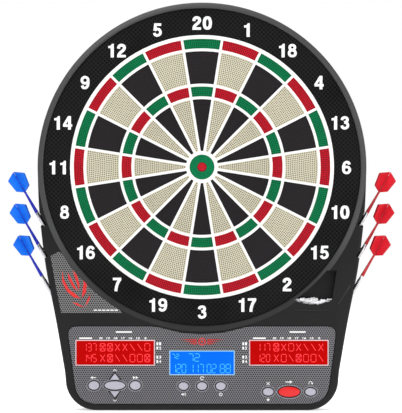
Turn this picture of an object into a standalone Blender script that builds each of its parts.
"""Electronic soft-tip dartboard: housing, playing face, electronics bay and six stored darts.

Frame: +Z up, the playing face looks along -Y, the wall is the plane y = 0, and the
origin is the bull's axis where it meets the back of the rear cover.  Units are metres.
"""
import math

import bpy
import bmesh
from mathutils import Matrix, Vector

for old in list(bpy.data.objects):
    bpy.data.objects.remove(old)

GAP = 0.0003

# Housing outline: an arc over the playing face, then sides that close in towards the bottom.
OUTER_RADIUS = 0.2455
SIDE_POINTS = ((0.0, 0.2455), (-0.050, 0.2440), (-0.095, 0.2402),
               (-0.154, 0.2325), (-0.229, 0.2180), (-0.312, 0.2036))
BOTTOM_Z = -0.3631
CORNER_RADIUS = 0.046
WALL = 0.0025

# Depth positions, from the front (negative) to the wall (zero).
BEZEL_Y = -0.0360
FRONT_Y = -0.0340
SEAT_Y = -0.0312
SEAT_BACK_Y = -0.0287
SPLIT_Y = -0.0140
NUMBER_RING_Y = (-0.0330, -0.0315)
SPIDER_Y = (-0.0340, -0.0265)
PAD_Y = -0.0330
CARRIER_Y = (-0.0261, -0.0245)
RUBBER_Y = (-0.0225, -0.0210)
SENSOR_Y = (-0.0207, -0.0202)
BACKING_Y = (-0.0199, -0.0169)

# Playing face radii.
WELL_RADIUS = 0.2368
WELL_WALL_RADIUS = 0.2396
WELL_CUT_RADIUS = 0.2423
BEZEL_RADIUS = 0.2452
FACE_OPENING = 0.1973
RING_BANDS = ((0.0183, 0.0239), (0.1009, 0.1058), (0.1198, 0.1248), (0.1724, 0.1773),
              (0.1913, 0.1969))
SPIDER_FLANGE = 0.2040
BAR_WIDTH = 0.0043
PAD_CLEARANCE = 0.0004
INNER_BULL_RADIUS = 0.0062
OUTER_BULL_RADII = (0.0071, 0.0179)
BULL_FOOT = 0.0084
BULL_FOOT_RIM = 0.0004
BULL_RECESS = 0.0150
BULL_UNDERCUT_Y = -0.0292
NUMBERS = (20, 1, 18, 4, 13, 6, 10, 15, 2, 17, 3, 19, 7, 16, 8, 11, 14, 9, 12, 5)
SECTOR = 360 / len(NUMBERS)
FACETS = 60

# Control panel below the playing face.
FASCIA_Y = (-0.0343, -0.0325)
BED_Y = (-0.0322, -0.0297)
FASCIA_TOP = -0.2376
FASCIA_ARC = 0.2490
FASCIA_BOTTOM = -0.3530
FASCIA_TOP_HALF = 0.2010
FASCIA_BOTTOM_HALF = 0.1860
SCORE_WINDOW = (0.1160, 0.0360)
SCORE_CENTRE = (0.1295, -0.2770)
LCD_WINDOW = (0.0950, 0.0342)
LCD_CENTRE_Z = -0.2920
DISPLAY_Y = (-0.0334, -0.0249)
BOARD_Y = (-0.0246, -0.0230)
KEYPAD_Y = (-0.0262, -0.0249)
DOME_Y = -0.0267
BUTTON_TOP_Y = -0.0362
BUTTON_FLANGE_Y = (-0.0294, -0.0282)
BUTTON_CLEARANCE = 0.0004
BUTTONS = (
    ("button_back", -0.1612, -0.3257, 0.0160, 0.0126, "oval"),
    ("button_select", -0.1299, -0.3257, 0.0306, 0.0124, "oval"),
    ("button_quick_game", -0.0993, -0.3257, 0.0160, 0.0126, "oval"),
    ("button_up", -0.1299, -0.3124, 0.0146, 0.0096, "up"),
    ("button_down", -0.1299, -0.3390, 0.0146, 0.0096, "down"),
    ("button_sound", -0.0277, -0.3267, 0.0148, 0.0112, "oval"),
    ("button_restart", 0.0000, -0.3267, 0.0148, 0.0112, "oval"),
    ("button_power", 0.0280, -0.3267, 0.0148, 0.0112, "oval"),
    ("button_favourite", 0.0986, -0.3352, 0.0160, 0.0112, "oval"),
    ("button_next_player", 0.1300, -0.3352, 0.0320, 0.0150, "oval"),
    ("button_bounce_out", 0.1618, -0.3352, 0.0160, 0.0112, "oval"),
)

# Tip bin in the right shoulder, open at the front above its lip.
BIN_INNER_RADIUS = 0.2415
BIN_TOP = -0.1542
BIN_LOW_ANGLE = -55.5
BIN_RIGHT = ((0.1951, -0.1910), (0.2010, -0.1542))
BIN_POCKET_EDGE = ((0.1500, -0.2130), (0.1860, -0.2130), (0.1925, -0.2040))
BIN_MOUTH_EDGE = ((0.1500, -0.2030), (0.1711, -0.2064), (0.1942, -0.1995))
BIN_BACK_Y = -0.0200
BIN_TRAY = ((0.1300, -0.2040), (0.1480, -0.2155), (0.1875, -0.2155), (0.1950, -0.2050),
            (0.1976, -0.1912), (0.2038, -0.1517), (0.1835, -0.1517), (0.1700, -0.1697),
            (0.1500, -0.1877))

# Stored darts, three a side, leaning outwards.
DART_LEAN = math.radians(30)
DART_Y = -0.0210
DART_TIPS = ((0.2099, -0.1332), (0.2077, -0.1806), (0.2024, -0.2282))
TIP_LENGTH = 0.0240
BARREL_LENGTH = 0.0510
SHAFT_LENGTH = 0.0340
FLIGHT_LENGTH = 0.0360
WING_PROFILE = ((0.0012, 0.002), (0.0146, 0.008), (0.0184, 0.028), (0.0015, FLIGHT_LENGTH))
WING_THICKNESS = 0.0005
SOCKET_BORE = 0.0042
SOCKET_RADIUS = 0.0062
SOCKET_FLOOR = 0.0020
SOCKET_NOTCH_START = 0.0520

# Rear details.
KEYHOLES = (-0.090, 0.090)
KEYHOLE_Z = 0.165
KEYHOLE_HEAD = 0.0055
KEYHOLE_SLOT = 0.0028
KEYHOLE_RISE = 0.0120
SPEAKER_CENTRE = (0.1000, -0.3000)
SPEAKER_RADIUS = 0.0250
JACK_X = -0.1100
JACK_SIZE = (0.0090, 0.0100, 0.0140)


# ---------------------------------------------------------------- shapes

def polar(radius, degrees):
    """Point at an angle measured clockwise from the top, seen from the front."""
    angle = math.radians(degrees)
    return (radius * math.sin(angle), radius * math.cos(angle))


def arc(centre, radius, start, end, steps):
    """Points on a circle; angles in degrees, anticlockwise from +X, both ends included."""
    points = []
    for index in range(steps + 1):
        angle = math.radians(start + (end - start) * index / steps)
        points.append((centre[0] + radius * math.cos(angle), centre[1] + radius * math.sin(angle)))
    return points


def rectangle(centre, width, height):
    x, z = centre
    return [(x - width / 2, z - height / 2), (x + width / 2, z - height / 2),
            (x + width / 2, z + height / 2), (x - width / 2, z + height / 2)]


def rounded(corners, radii, steps=4):
    """The polygon through the corners, each corner rounded to its own radius."""
    points = []
    count = len(corners)
    for index, corner in enumerate(corners):
        here = Vector(corner)
        before = (Vector(corners[index - 1]) - here).normalized()
        after = (Vector(corners[(index + 1) % count]) - here).normalized()
        radius = radii[index]
        if radius == 0:
            points.append(corner)
            continue
        half = before.angle(after) / 2
        reach = radius / math.tan(half)
        start = here + before * reach
        end = here + after * reach
        for step in range(steps + 1):
            t = step / steps
            bend = (1 - t) ** 2 * start + 2 * t * (1 - t) * here + t ** 2 * end
            points.append((bend.x, bend.y))
    return points


def mesh_object(name, vertices, faces, material):
    mesh = bpy.data.meshes.new(name)
    work = bmesh.new()
    made = [work.verts.new(vertex) for vertex in vertices]
    for face in faces:
        work.faces.new([made[index] for index in face])
    bmesh.ops.recalc_face_normals(work, faces=work.faces)
    work.to_mesh(mesh)
    work.free()
    obj = bpy.data.objects.new(name, mesh)
    bpy.context.collection.objects.link(obj)
    if material:
        mesh.materials.append(material)
    return obj


def loft(name, loops, material=None):
    """Closed solid through loops with equal numbers of points, capped at both ends."""
    size = len(loops[0])
    vertices = [point for loop in loops for point in loop]
    faces = [list(range(size))]
    faces.append(list(range((len(loops) - 1) * size, len(loops) * size)))
    for level in range(len(loops) - 1):
        for index in range(size):
            following = (index + 1) % size
            a = level * size
            b = a + size
            faces.append([a + index, b + index, b + following, a + following])
    return mesh_object(name, vertices, faces, material)


def prism(name, outline, front, back, material=None):
    """A flat outline in X and Z, extruded along Y."""
    return loft(name, [[(x, front, z) for x, z in outline], [(x, back, z) for x, z in outline]],
                material)


def turned_ring(name, profile, material=None, facets=FACETS, centre=(0.0, 0.0)):
    """A closed (radius, y) profile turned about an axis along Y."""
    vertices = []
    for step in range(facets):
        for radius, y in profile:
            x, z = polar(radius, 360 * step / facets)
            vertices.append((centre[0] + x, y, centre[1] + z))
    size = len(profile)
    faces = []
    for step in range(facets):
        here = step * size
        there = ((step + 1) % facets) * size
        for index in range(size):
            following = (index + 1) % size
            faces.append([here + index, there + index, there + following, here + following])
    return mesh_object(name, vertices, faces, material)


def turned_solid(name, profile, material=None, facets=24, centre=(0.0, 0.0)):
    """A solid of revolution about an axis along Y, from its (radius, y) steps."""
    loops = []
    for radius, y in profile:
        loops.append([(centre[0] + polar(radius, -360 * step / facets)[0], y,
                       centre[1] + polar(radius, -360 * step / facets)[1])
                      for step in range(facets)])
    return loft(name, loops, material)


def join(name, parts):
    """One mesh holding several solids that stay apart, for use in one Boolean."""
    work = bmesh.new()
    for part in parts:
        part.data.transform(part.matrix_basis)
        work.from_mesh(part.data)
        bpy.data.objects.remove(part)
    mesh = bpy.data.meshes.new(name)
    work.to_mesh(mesh)
    work.free()
    obj = bpy.data.objects.new(name, mesh)
    bpy.context.collection.objects.link(obj)
    return obj


def combine(target, steps):
    """Run Boolean steps of (operation, object) on the target and keep the result as its mesh."""
    for operation, other in steps:
        modifier = target.modifiers.new(operation.lower(), "BOOLEAN")
        modifier.operation = operation
        modifier.solver = "EXACT"
        modifier.object = other
    graph = bpy.context.evaluated_depsgraph_get()
    graph.update()
    result = bpy.data.meshes.new_from_object(target.evaluated_get(graph))
    target.modifiers.clear()
    target.data = result
    for _, other in steps:
        bpy.data.objects.remove(other)
    return target


def set_origin(obj, point):
    """Move the object's origin to a point while its surface stays in place."""
    obj.data.transform(Matrix.Translation(-Vector(point)))
    obj.location = point


def smooth(obj, degrees=35):
    obj.data.shade_smooth()
    obj.data.set_sharp_from_angle(angle=math.radians(degrees))


def finish(name, colour, roughness, metallic=0.0):
    material = bpy.data.materials.new(name)
    material.use_nodes = True
    shader = material.node_tree.nodes["Principled BSDF"]
    shader.inputs["Base Color"].default_value = (*colour, 1.0)
    shader.inputs["Roughness"].default_value = roughness
    shader.inputs["Metallic"].default_value = metallic
    material.diffuse_color = (*colour, 1.0)
    return material


# ---------------------------------------------------------------- finishes

HOUSING = finish("housing_plastic", (0.028, 0.028, 0.030), 0.45)
RING_BLACK = finish("number_ring_black", (0.010, 0.010, 0.010), 0.5)
SPIDER_WHITE = finish("spider_white", (0.80, 0.80, 0.78), 0.4)
PAD_CREAM = finish("segment_cream", (0.55, 0.51, 0.40), 0.5)
PAD_BLACK = finish("segment_black", (0.018, 0.018, 0.018), 0.5)
BULL_RED = finish("bull_red", (0.42, 0.012, 0.025), 0.45)
BULL_GREEN = finish("bull_green", (0.012, 0.16, 0.07), 0.45)
RUBBER = finish("rubber_black", (0.012, 0.012, 0.012), 0.9)
SENSOR = finish("sensor_film", (0.72, 0.70, 0.60), 0.4)
BACKING = finish("fibreboard_brown", (0.28, 0.18, 0.10), 0.8)
FASCIA = finish("fascia_grey", (0.070, 0.068, 0.078), 0.35)
SCORE_RED = finish("score_display_red", (0.52, 0.003, 0.006), 0.2)
LCD_BLUE = finish("lcd_blue", (0.006, 0.14, 0.90), 0.2)
BOARD_GREEN = finish("circuit_board_green", (0.01, 0.14, 0.05), 0.4)
KEYPAD = finish("keypad_silicone", (0.32, 0.32, 0.34), 0.7)
BUTTON_GREY = finish("button_grey", (0.43, 0.42, 0.49), 0.4)
BUTTON_RED = finish("button_red", (0.72, 0.003, 0.003), 0.35)
SPEAKER = finish("speaker_black", (0.02, 0.02, 0.02), 0.6)
JACK = finish("jack_black", (0.015, 0.015, 0.015), 0.4)
STEEL = finish("barrel_steel", (0.72, 0.72, 0.74), 0.25, 1.0)
FLIGHT_BLUE = finish("flight_blue", (0.02, 0.18, 0.74), 0.4)
FLIGHT_RED = finish("flight_red", (0.62, 0.02, 0.03), 0.4)


# ---------------------------------------------------------------- housing

def housing_outline(inset=0.0):
    """Outline seen from the front, anticlockwise from the bottom right corner."""
    radius = CORNER_RADIUS - inset
    side_low = SIDE_POINTS[-1][1] - inset
    centre = (side_low - radius, BOTTOM_Z + CORNER_RADIUS)
    right = arc(centre, radius, -90, 0, 6)
    right += [(x - inset, z) for z, x in reversed(SIDE_POINTS[1:-1])]
    top = arc((0.0, 0.0), OUTER_RADIUS - inset, 0, 180, 30)
    left = [(-x, z) for x, z in reversed(right)]
    return right + top + left


def fascia_outline(offset=0.0):
    """Outline of the control panel; the top edge dips around the playing face."""
    radius = FASCIA_ARC - offset
    top = FASCIA_TOP + offset
    dip = math.degrees(math.asin(top / -radius))
    dip_edge = arc((0.0, 0.0), radius, 180 + dip, 360 - dip, 10)
    corners = rounded([(-FASCIA_BOTTOM_HALF - offset, FASCIA_BOTTOM - offset),
                       (FASCIA_BOTTOM_HALF + offset, FASCIA_BOTTOM - offset),
                       (FASCIA_TOP_HALF + offset, top),
                       (-FASCIA_TOP_HALF - offset, top)],
                      (0.034, 0.034, 0.012, 0.012))
    half = len(corners) * 3 // 4
    return corners[:half] + list(reversed(dip_edge)) + corners[half:]


def bin_outline(lower_edge):
    """Outline of the tip bin: a lower edge from left to right, the right side, then the bezel arc."""
    top_angle = math.degrees(math.asin(BIN_TOP / BIN_INNER_RADIUS))
    bezel_edge = arc((0.0, 0.0), BIN_INNER_RADIUS, top_angle, BIN_LOW_ANGLE, 5)
    return list(lower_edge) + list(BIN_RIGHT) + bezel_edge


def socket_notch(tip, side):
    """Outline of the slot that opens a socket's mouth towards the front."""
    along = Vector((side * math.sin(DART_LEAN), math.cos(DART_LEAN)))
    across = Vector((along.y, -along.x)) * SOCKET_BORE
    near = Vector((side * tip[0], tip[1])) + along * SOCKET_NOTCH_START
    far = near + along * (BARREL_LENGTH + TIP_LENGTH - SOCKET_NOTCH_START)
    return [tuple(near + across), tuple(far + across), tuple(far - across), tuple(near - across)]


def socket_solid(name, tip, side, radius, start, length):
    """A rod along a stored dart's axis, from below its tip outwards."""
    direction = Vector((side * math.sin(DART_LEAN), 0.0, math.cos(DART_LEAN)))
    base = Vector((side * tip[0], DART_Y, tip[1])) + direction * start
    across = Vector((side * math.cos(DART_LEAN), 0.0, -math.sin(DART_LEAN)))
    loops = []
    for reach in (0.0, length):
        loop = []
        for step in range(12):
            angle = 2 * math.pi * step / 12
            offset = across * math.cos(angle) + Vector((0.0, 1.0, 0.0)) * math.sin(angle)
            loop.append(tuple(base + direction * reach + offset * radius))
        loops.append(loop)
    return loft(name, loops)


def button_outline(width, height, shape, grow=0.0):
    """Outline of one button about its centre, grown by a clearance."""
    if shape == "oval":
        points = []
        for step in range(12):
            angle = 2 * math.pi * step / 12
            points.append(((width / 2 + grow) * math.cos(angle), (height / 2 + grow) * math.sin(angle)))
        return points
    half = width / 2 + 2 * grow
    low = -height / 2 - grow
    high = height / 2 + 1.6 * grow
    corners = rounded([(-half, low), (half, low), (0.0, high)], (0.0012, 0.0012, 0.0012), 3)
    if shape == "down":
        return [(-x, -z) for x, z in corners]
    return corners


def button_hole(x, z, width, height, shape, front, back):
    outline = button_outline(width, height, shape, BUTTON_CLEARANCE)
    return prism("hole", [(x + px, z + pz) for px, pz in outline], front, back)


def panel_cutters(front, back):
    """The display windows and button holes, as one multi-part cutter."""
    parts = []
    for side in (-1, 1):
        parts.append(prism("window", rectangle((side * SCORE_CENTRE[0], SCORE_CENTRE[1]), *SCORE_WINDOW),
                           front, back))
    parts.append(prism("window", rectangle((0.0, LCD_CENTRE_Z), *LCD_WINDOW), front, back))
    for _, x, z, width, height, shape in BUTTONS:
        parts.append(button_hole(x, z, width, height, shape, front, back))
    return join("panel_cutters", parts)


def make_front_housing():
    shell = prism("front_housing", housing_outline(), FRONT_Y, SPLIT_Y, HOUSING)
    cavity = prism("cavity", housing_outline(WALL), FRONT_Y + WALL, SPLIT_Y + WALL)
    well = turned_solid("well", [(WELL_CUT_RADIUS, FRONT_Y - WALL), (WELL_CUT_RADIUS, FRONT_Y + WALL + 0.001)],
                        facets=FACETS)
    bezel = turned_ring("bezel", [(FACE_OPENING, SEAT_Y), (WELL_RADIUS, SEAT_Y), (WELL_RADIUS, BEZEL_Y),
                                  (WELL_WALL_RADIUS, BEZEL_Y), (BEZEL_RADIUS, FRONT_Y - 0.0004),
                                  (BEZEL_RADIUS, FRONT_Y + 0.001), (WELL_WALL_RADIUS, FRONT_Y + 0.001),
                                  (WELL_WALL_RADIUS, SEAT_BACK_Y), (FACE_OPENING, SEAT_BACK_Y)])
    bed = prism("bed", fascia_outline(0.0025), FRONT_Y + 0.001, BED_Y[1])
    recess = prism("recess", fascia_outline(GAP), FRONT_Y - WALL, BED_Y[0])
    tray = prism("tray", BIN_TRAY, FRONT_Y + 0.001, BIN_BACK_Y + WALL)
    pocket = prism("pocket", bin_outline(BIN_POCKET_EDGE), FRONT_Y + WALL, BIN_BACK_Y)
    mouth = prism("mouth", bin_outline(BIN_MOUTH_EDGE), FRONT_Y - WALL, BIN_BACK_Y - 0.001)
    holes = panel_cutters(FRONT_Y - WALL, BED_Y[1] + 0.001)
    sockets = []
    bores = []
    notches = []
    room = BARREL_LENGTH + TIP_LENGTH
    for side in (-1, 1):
        for tip in DART_TIPS:
            sockets.append(socket_solid("socket", tip, side, SOCKET_RADIUS, -SOCKET_FLOOR - 0.001, room))
            bores.append(socket_solid("bore", tip, side, SOCKET_BORE, -0.001, room))
            notches.append(prism("notch", socket_notch(tip, side), FRONT_Y - WALL, DART_Y))
    sockets = join("sockets", sockets)
    trim = prism("trim", housing_outline(0.0001), FRONT_Y - WALL, SPLIT_Y + WALL)
    combine(sockets, [("INTERSECT", trim)])
    return combine(shell, [("DIFFERENCE", cavity), ("DIFFERENCE", well), ("UNION", bezel),
                           ("UNION", bed), ("UNION", tray), ("UNION", sockets),
                           ("DIFFERENCE", recess), ("DIFFERENCE", holes), ("DIFFERENCE", pocket),
                           ("DIFFERENCE", mouth), ("DIFFERENCE", join("bores", bores)),
                           ("DIFFERENCE", join("notches", notches))])


def make_rear_cover():
    cover = prism("rear_cover", housing_outline(), SPLIT_Y + GAP, 0.0, HOUSING)
    cavity = prism("cavity", housing_outline(WALL), SPLIT_Y - WALL, -WALL)
    cuts = []
    for x in KEYHOLES:
        cuts.append(keyhole(x))
    for row in range(-2, 3):
        centre = (SPEAKER_CENTRE[0], SPEAKER_CENTRE[1] + row * 0.008)
        cuts.append(prism("slot", rectangle(centre, 0.036, 0.003), -2 * WALL, WALL))
    width, depth, _ = JACK_SIZE
    middle = jack_middle_y()
    cuts.append(prism("jack_hole", rectangle((JACK_X, BOTTOM_Z), width + 0.0008, 4 * WALL),
                      middle - depth / 2 - 0.0004, middle + depth / 2 + 0.0004))
    return combine(cover, [("DIFFERENCE", cavity), ("DIFFERENCE", join("cuts", cuts))])


def keyhole(x):
    """A round head hole that runs up into a narrow slot, as one outline."""
    meet = math.degrees(math.acos(KEYHOLE_SLOT / KEYHOLE_HEAD))
    outline = arc((x, KEYHOLE_Z), KEYHOLE_HEAD, 180 - meet, 360 + meet, 14)
    outline += arc((x, KEYHOLE_Z + KEYHOLE_RISE), KEYHOLE_SLOT, 0, 180, 6)
    return prism("keyhole", outline, -2 * WALL, WALL)


def jack_middle_y():
    return -WALL - GAP - JACK_SIZE[1] / 2 - 0.001


# ---------------------------------------------------------------- playing face

def bar_columns(radius):
    """Angles round a ring: both edges of each radial bar and the middle of each window."""
    half = math.degrees(math.asin(BAR_WIDTH / 2 / radius))
    columns = []
    for index in range(len(NUMBERS)):
        bar = SECTOR * (index + 0.5)
        columns += [bar - half, bar + half, bar + SECTOR / 2]
    return columns


def make_spider():
    """One moulded web: ring bands joined by radial bars, with a window for each segment."""
    radii = [radius for band in RING_BANDS for radius in band]
    columns = 3 * len(NUMBERS)
    vertices = []
    for y in SPIDER_Y:
        for radius in radii:
            for angle in bar_columns(radius):
                x, z = polar(radius, angle)
                vertices.append((x, y, z))
    back = len(radii) * columns

    def solid(band, column):
        if not 0 <= band < len(radii) - 1:
            return False
        return band % 2 == 0 or column % 3 == 0

    def corner(ring, column):
        return ring * columns + column % columns

    faces = []
    for band in range(len(radii) - 1):
        for column in range(columns):
            if not solid(band, column):
                continue
            a, b = corner(band, column), corner(band, column + 1)
            c, d = corner(band + 1, column + 1), corner(band + 1, column)
            faces += [[a, b, c, d], [a + back, d + back, c + back, b + back]]
            if not solid(band - 1, column):
                faces.append([a, a + back, b + back, b])
            if not solid(band + 1, column):
                faces.append([d, c, c + back, d + back])
            if not solid(band, (column - 1) % columns):
                faces.append([a, d, d + back, a + back])
            if not solid(band, (column + 1) % columns):
                faces.append([b, b + back, c + back, c])
    web = mesh_object("spider_web", vertices, faces, SPIDER_WHITE)
    outer = RING_BANDS[-1][1]
    flange = turned_ring("flange", [(outer - 0.002, SEAT_BACK_Y + GAP), (SPIDER_FLANGE, SEAT_BACK_Y + GAP),
                                    (SPIDER_FLANGE, SPIDER_Y[1] - 0.0002),
                                    (outer - 0.002, SPIDER_Y[1] - 0.0002)])
    return combine(web, [("UNION", flange)])


def sector_outline(inner, outer, bar_half):
    """A target segment at the top of the board, its sides parallel to the radial bars."""
    points = []
    for radius, sides in ((inner, (-1, 0, 1)), (outer, (1, 0, -1))):
        edge = SECTOR / 2 - math.degrees(math.asin(bar_half / radius))
        points += [polar(radius, side * edge) for side in sides]
    return points


def make_segments():
    """One strip of double, outer single, triple and inner single for each number."""
    carrier = prism("segment_strip", sector_outline(RING_BANDS[0][1], RING_BANDS[-1][0], PAD_CLEARANCE),
                    *CARRIER_Y)
    pads = []
    for inner_band, outer_band in zip(RING_BANDS[:-1], RING_BANDS[1:]):
        outline = sector_outline(inner_band[1] + PAD_CLEARANCE, outer_band[0] - PAD_CLEARANCE,
                                 BAR_WIDTH / 2 + PAD_CLEARANCE)
        pads.append(prism("pad", outline, PAD_Y, CARRIER_Y[0] + 0.0005))
    combine(carrier, [("UNION", join("pads", pads))])
    middle = (0.0, CARRIER_Y[1], (RING_BANDS[0][1] + RING_BANDS[-1][0]) / 2)
    set_origin(carrier, middle)
    for index, number in enumerate(NUMBERS):
        turn = Matrix.Rotation(math.radians(SECTOR * index), 4, "Y")
        strip = bpy.data.objects.new(f"segments_{number}", carrier.data.copy())
        strip.data.materials.append(PAD_BLACK if index % 2 == 0 else PAD_CREAM)
        strip.location = turn @ Vector(middle)
        strip.rotation_euler = (0.0, math.radians(SECTOR * index), 0.0)
        bpy.context.collection.objects.link(strip)
    bpy.data.objects.remove(carrier)


def make_bulls():
    """The ring and the disc at the centre.

    The disc's foot is a shallow cone under the ring's countersunk back, clear of the ring's travel.
    """
    inner, outer = OUTER_BULL_RADII
    front, back = CARRIER_Y
    foot = RING_BANDS[0][1] - 0.001
    turned_ring("outer_bull", [(inner, PAD_Y - 0.0003), (outer, PAD_Y - 0.0003), (outer, front),
                               (foot, front), (foot, back), (BULL_RECESS, back), (inner, BULL_UNDERCUT_Y)],
                BULL_GREEN, 30)
    turned_solid("inner_bull", [(INNER_BULL_RADIUS, PAD_Y - 0.0006), (INNER_BULL_RADIUS, front),
                                (BULL_FOOT, back - BULL_FOOT_RIM), (BULL_FOOT, back)], BULL_RED, 30)


def make_face_layers():
    turned_ring("number_ring", [(FACE_OPENING + GAP, NUMBER_RING_Y[0]), (WELL_RADIUS - GAP, NUMBER_RING_Y[0]),
                                (WELL_RADIUS - GAP, NUMBER_RING_Y[1]), (FACE_OPENING + GAP, NUMBER_RING_Y[1])],
                RING_BLACK)
    turned_solid("rubber_sheet", [(0.194, RUBBER_Y[0]), (0.194, RUBBER_Y[1])], RUBBER, 48)
    turned_solid("backing_board", [(0.228, BACKING_Y[0]), (0.228, BACKING_Y[1])], BACKING, 48)
    radius = 0.1960
    tail_half = math.degrees(math.asin(0.015 / radius))
    outline = arc((0.0, 0.0), radius, -90 + tail_half, 270 - tail_half, 46)
    outline += [(-0.015, -0.2700), (0.015, -0.2700)]
    prism("sensor_matrix", outline, *SENSOR_Y, SENSOR)


# ---------------------------------------------------------------- electronics bay

def make_panel():
    plate = prism("control_fascia", fascia_outline(), *FASCIA_Y, FASCIA)
    combine(plate, [("DIFFERENCE", panel_cutters(FASCIA_Y[0] - 0.001, FASCIA_Y[1] + 0.001))])
    for side, name in ((-1, "left"), (1, "right")):
        make_display(f"score_display_{name}", (side * SCORE_CENTRE[0], SCORE_CENTRE[1]), SCORE_WINDOW,
                     SCORE_RED)
    make_display("lcd_display", (0.0, LCD_CENTRE_Z), LCD_WINDOW, LCD_BLUE)


def make_display(name, centre, window, material):
    """A display module whose window block stands on a wider base behind the panel."""
    width, height = window[0] - 2 * GAP, window[1] - 2 * GAP
    front, back = DISPLAY_Y
    base = -0.0290
    rim = 0.0015
    loops = []
    for y, grow in ((front, 0.0), (base, 0.0), (base, rim), (back, rim)):
        corners = rectangle(centre, width + 2 * grow, height + 2 * grow)
        loops.append([(x, y, z) for x, z in corners])
    return loft(name, loops, material)


def make_buttons():
    for name, x, z, width, height, shape in BUTTONS:
        outline = button_outline(width, height, shape)
        steps = ((BUTTON_TOP_Y, 0.80, 0.80), (BUTTON_TOP_Y + 0.0008, 1.0, 1.0),
                 (BUTTON_FLANGE_Y[0], 1.0, 1.0), (BUTTON_FLANGE_Y[0], 1 + 0.003 / width, 1.0),
                 (BUTTON_FLANGE_Y[1], 1 + 0.003 / width, 1.0))
        loops = [[(px * wide, y, pz * tall) for px, pz in outline] for y, wide, tall in steps]
        button = loft(name, loops, BUTTON_RED if name == "button_next_player" else BUTTON_GREY)
        button.location = (x, 0.0, z)
        smooth(button)


def make_keypad():
    outline = [(-0.173, -0.3480), (0.174, -0.3480), (0.174, -0.3260), (0.040, -0.3260), (0.040, -0.3165),
               (-0.085, -0.3165), (-0.085, -0.3050), (-0.173, -0.3050)]
    sheet = prism("button_keypad", outline, *KEYPAD_Y, KEYPAD)
    domes = []
    for _, x, z, *_ in BUTTONS:
        domes.append(turned_solid("dome", [(0.0030, DOME_Y), (0.0038, KEYPAD_Y[0] + 0.0003)],
                                  facets=8, centre=(x, z)))
    return combine(sheet, [("UNION", join("domes", domes))])


def make_circuit_board():
    """The main board with its controller, driver chips and connectors on the rear side."""
    outline = rectangle((0.0, -0.3015), 0.340, 0.097)
    board = prism("main_circuit_board", outline, *BOARD_Y, BOARD_GREEN)
    blocks = ((0.0, -0.263, 0.034, 0.008, 0.0020), (-0.060, -0.300, 0.022, 0.022, 0.0024),
              (-0.110, -0.285, 0.028, 0.012, 0.0024), (0.030, -0.320, 0.016, 0.010, 0.0050),
              (-0.135, -0.335, 0.014, 0.010, 0.0060))
    parts = [prism("chip", rectangle((x, z), width, height), BOARD_Y[1] - 0.0003, BOARD_Y[1] + tall)
             for x, z, width, height, tall in blocks]
    return combine(board, [("UNION", join("chips", parts))])


def make_speaker():
    radius = SPEAKER_RADIUS
    profile = [(0.0125, -0.0180), (0.0125, -0.0120), (0.0180, -0.0110), (radius, -0.0060), (radius, -0.0029)]
    speaker = turned_solid("speaker", profile, SPEAKER, 24, SPEAKER_CENTRE)
    set_origin(speaker, (SPEAKER_CENTRE[0], -0.0029, SPEAKER_CENTRE[1]))


def make_jack():
    width, depth, height = JACK_SIZE
    middle = jack_middle_y()
    centre = (JACK_X, BOTTOM_Z + height / 2)
    body = prism("power_jack", rectangle(centre, width, height), middle - depth / 2, middle + depth / 2, JACK)
    bore = []
    for z in (BOTTOM_Z - 0.001, BOTTOM_Z + 0.0095):
        bore.append([(JACK_X + 0.0029 * math.cos(2 * math.pi * step / 12),
                      middle + 0.0029 * math.sin(2 * math.pi * step / 12), z) for step in range(12)])
    return combine(body, [("DIFFERENCE", loft("bore", bore))])


# ---------------------------------------------------------------- darts

def dart_rings(profile, sides=12):
    """Loops round the dart's own axis from its (radius, height) steps."""
    return [[(radius * math.cos(2 * math.pi * step / sides), radius * math.sin(2 * math.pi * step / sides),
              height) for step in range(sides)] for radius, height in profile]


def make_dart_meshes():
    start = TIP_LENGTH
    end = start + BARREL_LENGTH
    barrel = loft("barrel", dart_rings([(0.0007, 0.0), (0.0012, 0.012), (0.0024, start - 0.002),
                                        (0.0032, start + 0.002), (0.0032, end - 0.006),
                                        (0.0026, end)]), STEEL)
    smooth(barrel)
    top = end + GAP
    flight_start = end + SHAFT_LENGTH
    shaft = loft("shaft", dart_rings([(0.0026, top), (0.0028, top + 0.002), (0.0015, flight_start),
                                      (0.0010, flight_start + 0.020)], 8))
    profile = list(WING_PROFILE) + [(-reach, height) for reach, height in reversed(WING_PROFILE)]
    wings = []
    for turn in (45, 135):
        loops = [[(reach, side * WING_THICKNESS / 2, flight_start + height) for reach, height in profile]
                 for side in (-1, 1)]
        wing = loft("wing", loops)
        wing.data.transform(Matrix.Rotation(math.radians(turn), 4, "Z"))
        wings.append(("UNION", wing))
    combine(shaft, wings)
    return barrel, shaft


def make_darts():
    barrel, flight = make_dart_meshes()
    for side, colour, finish_of in ((-1, "blue", FLIGHT_BLUE), (1, "red", FLIGHT_RED)):
        for index, (x, z) in enumerate(DART_TIPS, 1):
            for kind, source, material in (("barrel", barrel, STEEL), ("flight", flight, finish_of)):
                piece = bpy.data.objects.new(f"dart_{colour}_{index}_{kind}", source.data.copy())
                piece.data.materials.clear()
                piece.data.materials.append(material)
                piece.location = (side * x, DART_Y, z)
                piece.rotation_euler = (0.0, side * DART_LEAN, 0.0)
                bpy.context.collection.objects.link(piece)
    bpy.data.objects.remove(barrel)
    bpy.data.objects.remove(flight)


make_front_housing()
make_rear_cover()
make_spider()
make_segments()
make_bulls()
make_face_layers()
make_panel()
make_buttons()
make_keypad()
make_circuit_board()
make_speaker()
make_jack()
make_darts()
